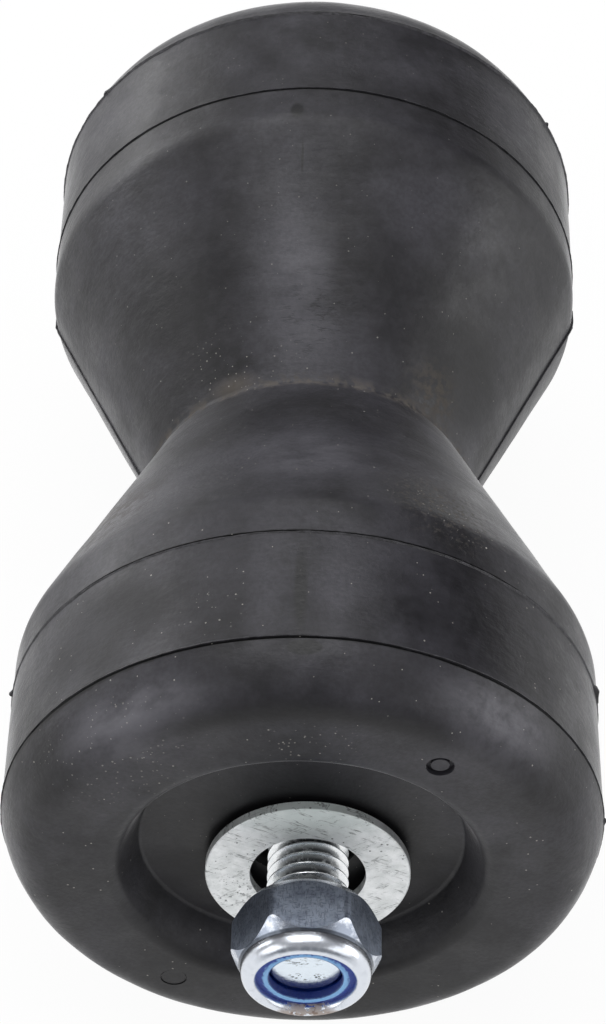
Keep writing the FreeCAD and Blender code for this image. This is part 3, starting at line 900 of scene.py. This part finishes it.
def make_fins(s, material):
    """The thin fins where the halves of the mould met, down both sides of each cone."""
    profile = [p for p in half_outline(s) if p[0] > -s.band_at + MM and p[1] > s.waist - MM][:-1]
    steps = []
    for first, second in zip(profile, profile[1:]):
        steps += divide(first, second, 4)
    for side, turn in (("left", -96), ("right", 92)):
        for end, sign in (("near", 1), ("far", -1)):
            over = [(along * sign, out + s.fin) for along, out in steps]
            under = [(along * sign, out - FIN_FOOT) for along, out in reversed(steps)]
            places = across(ROLLER_AXIS, over + under, math.radians(turn))
            piece = plate(f"fin_{end}_{side}", places)
            modify(piece, "SOLIDIFY", thickness=FIN_THICKNESS, offset=0)
            roughen(piece, grain=2.5 * MM, strength=0.35 * MM, direction="Z")
            smooth(piece, 50)
            hand_over(piece, material, ROLLER, "rubber_black")


# a flake's outline, in shares of its width and height
FLAKE = [(-0.5, -0.5), (-0.42, 0.35), (-0.15, 0.6), (0.1, 1), (0.3, 0.7), (0.5, -0.5)]


def make_flakes(s, material):
    """Torn flakes that stand out of the flash and fins. Each has its station, its turn from the
    top in degrees, and its width and height in millimetres."""
    flakes = {
        "near_right": (-s.shoulder_at + 0.2 * MM, 86, 1.9, 0.5),
        "near_left": (-s.band_at - 0.2 * MM, -82, 1.6, 0.6),
        "near_line_right": (-s.band_at - 0.2 * MM, 78, 5, 0.7),
        "far_left": (s.cone_at - 1 * MM, -96, 2.2, 0.4),
        "far_right": (s.cone_at - 1 * MM, 93, 1.6, 0.3),
        "far_top_right": (s.shoulder_at, 62, 1.4, 0.6),
        "far_top_left": (s.shoulder_at, -54, 3.0, 0.5),
    }
    for name, (station, degrees, width, height) in flakes.items():
        turn = math.radians(degrees)
        centre = across(ROLLER_AXIS, [(station, s.flange)], turn)[0]
        out = (centre - Vector((ROLLER_AXIS.x, station, ROLLER_AXIS.z))).normalized()
        side = out.cross(Vector((0, 1, 0)))
        places = [centre + (side * a * width + out * b * height) * MM for a, b in FLAKE]
        piece = plate(f"flake_{name}", places)
        modify(piece, "SOLIDIFY", thickness=FLAKE_THICKNESS, offset=0)
        modify(piece, "BEVEL", width=0.12 * MM, segments=2, limit_method="ANGLE")
        smooth(piece, 50)
        hand_over(piece, material, ROLLER, "rubber_black")


# Bolt, nut and washers

THREAD_FOOT = 0.12 * MM  # how deep the thread stands in the core
CREST_FALL = 0.03 * MM  # from the middle of a crest down to its edges


def make_bolt(b, f):
    """The bolt: its head from the frame, a core that the thread is wound on, and a domed tip."""
    material = zinc_bolt(b, f)
    shoulder = BOLT_LOW.y + b.threaded
    piece = copy_of("axle_bolt", "bolt_head")
    bpy.ops.object.mode_set(mode="EDIT")
    select_all()
    bpy.ops.mesh.bisect(
        plane_co=(0, shoulder, 0), plane_no=(0, 1, 0), use_fill=True, clear_inner=True
    )
    settle()
    modify(piece, "BEVEL", width=0.15 * MM, segments=2, limit_method="ANGLE")
    smooth(piece)
    hand_over(piece, material, AXLE, "zinc_bolt", "axle_bolt")

    tip = BOLT_LOW.y
    rise = (b.tip ** 2 + b.dome ** 2) / (2 * b.dome)
    lean = math.asin(b.tip / rise)
    outline = arc((tip + rise, 0), rise, -math.pi / 2, -math.pi / 2 + lean, 5)
    outline += [
        (tip + b.dome + b.bevel * 0.5, b.tip + b.bevel * 0.7),
        (tip + b.dome + b.bevel * 1.5, b.tip + b.bevel * 0.7),
        (tip + b.dome + b.bevel * 3, b.core),
        (shoulder, b.core),
        (shoulder, 0),
    ]
    core = turned("bolt_core", BOLT_AXIS, outline, 96, closed=False)
    smooth(core)
    hand_over(core, material, AXLE, "zinc_bolt")

    flank = (b.thread - b.core) * math.tan(math.radians(30))
    half = b.pitch / 18
    middle = tip + b.dome + b.bevel * 3 + flank + half
    turns = int((shoulder - middle - flank - half) / b.pitch)
    foot = b.core - THREAD_FOOT
    points = [
        (middle - half - flank, foot),
        (middle - half - flank, b.core),
        (middle - half, b.thread - CREST_FALL),
        (middle, b.thread),
        (middle + half, b.thread - CREST_FALL),
        (middle + half + flank, b.core),
        (middle + half + flank, foot),
    ]
    thread = plate("bolt_thread", across(BOLT_AXIS, points))
    modify(
        thread, "SCREW", axis="Y", angle=2 * math.pi, screw_offset=b.pitch, iterations=turns,
        steps=72, render_steps=72, use_merge_vertices=True, merge_threshold=WELD,
    )
    smooth(thread)
    hand_over(thread, material, AXLE, "zinc_bolt")


NUT_MARGIN = 0.3 * MM  # how far the blank reaches past the bar's corners
HOLE_BEVEL = 0.5 * MM  # bevel of the nut's hole at the seat


def make_nut(n, f):
    """The nut's steel body: a turned blank, cut to a hexagon of drawn bar with rounded corners,
    with its lip rolled in over the ring."""
    seat, front = NUT_HIGH.y, NUT_LOW.y
    wide = n.corner + NUT_MARGIN
    rise, run = n.corner - n.seat, n.corner - n.bevel_foot
    end = seat - n.hexagon
    outline = [
        (seat, n.hole + HOLE_BEVEL),
        (seat, n.seat),
        (seat - n.seat_bevel * (wide - n.seat) / rise, wide),
        (end + n.bevel * (wide - n.bevel_foot) / run, wide),
        (end, n.bevel_foot),
        (end, n.collar),
    ]
    outline += [
        (front + n.roll - n.roll * sine, n.ridge + (n.collar - n.ridge) * cosine)
        for sine, cosine in quarter(8)
    ]
    outline += [
        (front + n.roll_in - n.roll_in * cosine, n.ridge - (n.ridge - n.lip) * sine)
        for sine, cosine in quarter(6)[1:]
    ]
    outline += [
        (front + n.lip_depth, n.lip),
        (front + n.lip_depth, n.pocket),
        (front + n.pocket_depth, n.pocket),
        (front + n.pocket_depth, n.hole),
        (seat - HOLE_BEVEL, n.hole),
    ]
    blank = turned("nut_body", BOLT_AXIS, outline, 144)

    # the frame's nut has a corner where it stands furthest from the axis
    points = [v.co for v in frame["nodes"]["lock_nut"].data.vertices]
    furthest = max(points, key=lambda p: math.hypot(p.x, p.z))
    turn = math.atan2(furthest.x, furthest.z)
    corners = [
        across(BOLT_AXIS, [(front - MM, n.corner)], turn + math.pi / 3 * i)[0] for i in range(6)
    ]
    bar = draw("hexagon_bar", corners)
    bpy.ops.mesh.edge_face_add()
    reach = {"value": (0, seat - front + 2 * MM, 0)}
    bpy.ops.mesh.extrude_region_move(TRANSFORM_OT_translate=reach)
    select_all()
    bpy.ops.mesh.normals_make_consistent(inside=False)
    settle()

    # the bar's long edges are rounded
    for edge in bar.data.edges:
        first, second = [bar.data.vertices[v].co for v in edge.vertices]
        edge.select = abs(first.y - second.y) > 5 * MM
    bpy.ops.object.mode_set(mode="EDIT")
    bpy.ops.mesh.select_mode(type="EDGE")
    bpy.ops.mesh.bevel(offset=n.softness * math.tan(math.pi / 6), segments=6, affect="EDGES")
    settle()
    modify(blank, "BOOLEAN", object=bar, operation="INTERSECT", solver="EXACT")
    bpy.data.objects.remove(bar, do_unlink=True)
    smooth(blank, 20)
    hand_over(blank, zinc_nut(f), AXLE, "zinc_nut", "lock_nut")


def finish_nodes(material, *names):
    """Gives the frame's own pieces their finish."""
    for name in names:
        for slot in frame["nodes"][name].material_slots:
            slot.material = material


# Stage

CAMERA_PLACE = Vector((-1.0, -329.62, 365.16)) * MM
CAMERA_RIGHT = Vector((0.9997, 0.0181, 0.0135))
CAMERA_FORWARD = Vector((-0.002, 0.667, -0.745))
CAMERA_LENS = 107.55
FLOOR_SIZE = 12.0
FLOOR_GAP = 1 * MM
PAPER_GLOW = 0.95  # how much of the paper's colour is its own light
STUDIO_GREY = linear("#a6a6a8")
DARK_WALL = (0.62, 0.66, 0.42)  # towards the wall at the back on the right, which is darker

# each lamp's place and size in metres, and its watts: overhead, low at each side, and in front
LAMPS = {
    "overhead": ((-0.1, 0.35, 1.3), (1.3, 1.2), 11),
    "left_box": ((-1.0, 0.75, 0.32), (1.0, 0.6), 6.5),
    "right_box": ((1.25, 0.1, 0.25), (0.6, 0.5), 3.5),
    "front_left": ((-1.2, -0.6, 0.6), (1.0, 0.9), 4),
    "front_right": ((1.2, -0.6, 0.6), (1.0, 0.9), 3),
}


def make_camera():
    """The camera stands where the photograph was taken, above the nut's end of the roller."""
    data = bpy.data.cameras.new("camera")
    data.lens = CAMERA_LENS
    data.clip_start = 0.01
    camera = new_object("camera", data)
    back = -CAMERA_FORWARD.normalized()
    up = back.cross(CAMERA_RIGHT).normalized()
    axes = Matrix((up.cross(back), up, back)).transposed()
    camera.matrix_world = Matrix.Translation(CAMERA_PLACE) @ axes.to_4x4()
    bpy.context.scene.camera = camera


def make_floor(f):
    """A plain floor that looks white and keeps a faint shadow of the roller."""
    deselect()
    bpy.ops.mesh.primitive_plane_add(size=FLOOR_SIZE, location=(0, 0, ROLLER_LOW.z - FLOOR_GAP))
    floor = bpy.context.object
    floor.name = "floor"
    bpy.ops.object.transform_apply(location=True)
    material, tree = new_material("white_paper")
    coat(material, {"Base Color": f.backdrop, "Roughness": 0.9})
    glow = add(tree, "Emission", {"Color": (1, 1, 1, 1), "Strength": 1.0})
    rays = add(tree, "LightPath").node.outputs
    seen = gather(
        tree, "MAXIMUM", rays["Is Camera Ray"], rays["Is Glossy Ray"], rays["Is Transmission Ray"]
    )
    seen = add(tree, "Math", {0: seen, 1: PAPER_GLOW}, operation="MULTIPLY")
    plain = tree.nodes["Principled BSDF"].outputs[0]
    paper = add(tree, "MixShader", {0: seen, 1: plain, 2: glow})
    fill(tree, tree.nodes["Material Output"], {"Surface": paper})
    floor.data.materials.append(material)


def make_world():
    """The plain grey walls of a studio."""
    world = bpy.data.worlds.new("studio")
    bpy.context.scene.world = world
    world.use_nodes = True
    tree = world.node_tree
    towards = {0: add(tree, "TexCoord"), 1: DARK_WALL}
    towards = add(tree, "VectorMath", towards, "Value", operation="DOT_PRODUCT")
    strength = add(tree, "MapRange", {0: towards, 1: 0.8, 2: 0.97, 3: 1.0, 4: 0.2})
    fill(tree, tree.nodes["Background"], {"Color": STUDIO_GREY, "Strength": strength})


def make_lights():
    """Soft boxes that look at the roller."""
    for name, (place, size, watts) in LAMPS.items():
        data = bpy.data.lights.new(name, "AREA")
        data.shape = "RECTANGLE"
        data.size, data.size_y = size
        data.energy = watts
        lamp = new_object(name, data)
        lamp.location = place
        lamp.rotation_euler = (-Vector(place)).to_track_quat("-Z", "Y").to_euler()


# Operators, panel and registration

class BOATROLLER_OT_roller(bpy.types.Operator):
    """Mould the rubber roller"""
    bl_idname = "boatroller.roller"
    bl_label = "Roller"

    def execute(self, context):
        make_roller(context.scene.roller_sizes, context.scene.roller_finishes)
        return {"FINISHED"}


class BOATROLLER_OT_flash(bpy.types.Operator):
    """Add the flash, the parting fins and the torn flakes"""
    bl_idname = "boatroller.flash"
    bl_label = "Flash"

    def execute(self, context):
        sizes = context.scene.roller_sizes
        material = flash_rubber(context.scene.roller_finishes)
        make_flash(sizes, material)
        make_fins(sizes, material)
        make_flakes(sizes, material)
        return {"FINISHED"}


class BOATROLLER_OT_bolt(bpy.types.Operator):
    """Make the bolt and wind its thread"""
    bl_idname = "boatroller.bolt"
    bl_label = "Bolt"

    def execute(self, context):
        make_bolt(context.scene.bolt_sizes, context.scene.roller_finishes)
        return {"FINISHED"}


class BOATROLLER_OT_nut(bpy.types.Operator):
    """Finish the nut and its nylon ring"""
    bl_idname = "boatroller.nut"
    bl_label = "Locking nut"

    def execute(self, context):
        make_nut(context.scene.nut_sizes, context.scene.roller_finishes)
        finish_nodes(blue_nylon(context.scene.roller_finishes), "nut_insert")
        return {"FINISHED"}


class BOATROLLER_OT_washers(bpy.types.Operator):
    """Finish both washers"""
    bl_idname = "boatroller.washers"
    bl_label = "Washers"

    def execute(self, context):
        material = zinc_washer(context.scene.roller_finishes)
        finish_nodes(material, "nut_washer", "head_washer")
        return {"FINISHED"}


class BOATROLLER_OT_stage(bpy.types.Operator):
    """Set up the floor, the light and the camera"""
    bl_idname = "boatroller.stage"
    bl_label = "Stage"

    def execute(self, context):
        make_camera()
        make_floor(context.scene.roller_finishes)
        make_world()
        make_lights()
        context.scene.view_settings.view_transform = "Standard"
        return {"FINISHED"}


STEPS = (
    BOATROLLER_OT_stage,
    BOATROLLER_OT_roller,
    BOATROLLER_OT_flash,
    BOATROLLER_OT_bolt,
    BOATROLLER_OT_nut,
    BOATROLLER_OT_washers,
)
GROUPS = {
    "roller_sizes": RollerSizes,
    "bolt_sizes": BoltSizes,
    "nut_sizes": NutSizes,
    "roller_finishes": Finishes,
}


class BOATROLLER_PT_panel(bpy.types.Panel):
    """The steps in the order in which they are run, and the sizes and colours"""
    bl_idname = "BOATROLLER_PT_panel"
    bl_label = "Boat trailer roller"
    bl_space_type = "VIEW_3D"
    bl_region_type = "UI"
    bl_category = "Boat roller"

    def draw(self, context):
        for step in STEPS:
            self.layout.operator(step.bl_idname)
        for name, group in GROUPS.items():
            for value in group.__annotations__:
                self.layout.prop(getattr(context.scene, name), value)


CLASSES = (*GROUPS.values(), *STEPS, BOATROLLER_PT_panel)


def register():
    for cls in CLASSES:
        bpy.utils.register_class(cls)
    for name, group in GROUPS.items():
        setattr(bpy.types.Scene, name, bpy.props.PointerProperty(type=group))


def unregister():
    for name in GROUPS:
        delattr(bpy.types.Scene, name)
    for cls in reversed(CLASSES):
        bpy.utils.unregister_class(cls)


def main():
    register()
    for step in STEPS:
        getattr(bpy.ops.boatroller, step.bl_idname.split(".")[1])()


if __name__ == "__main__":
    main()
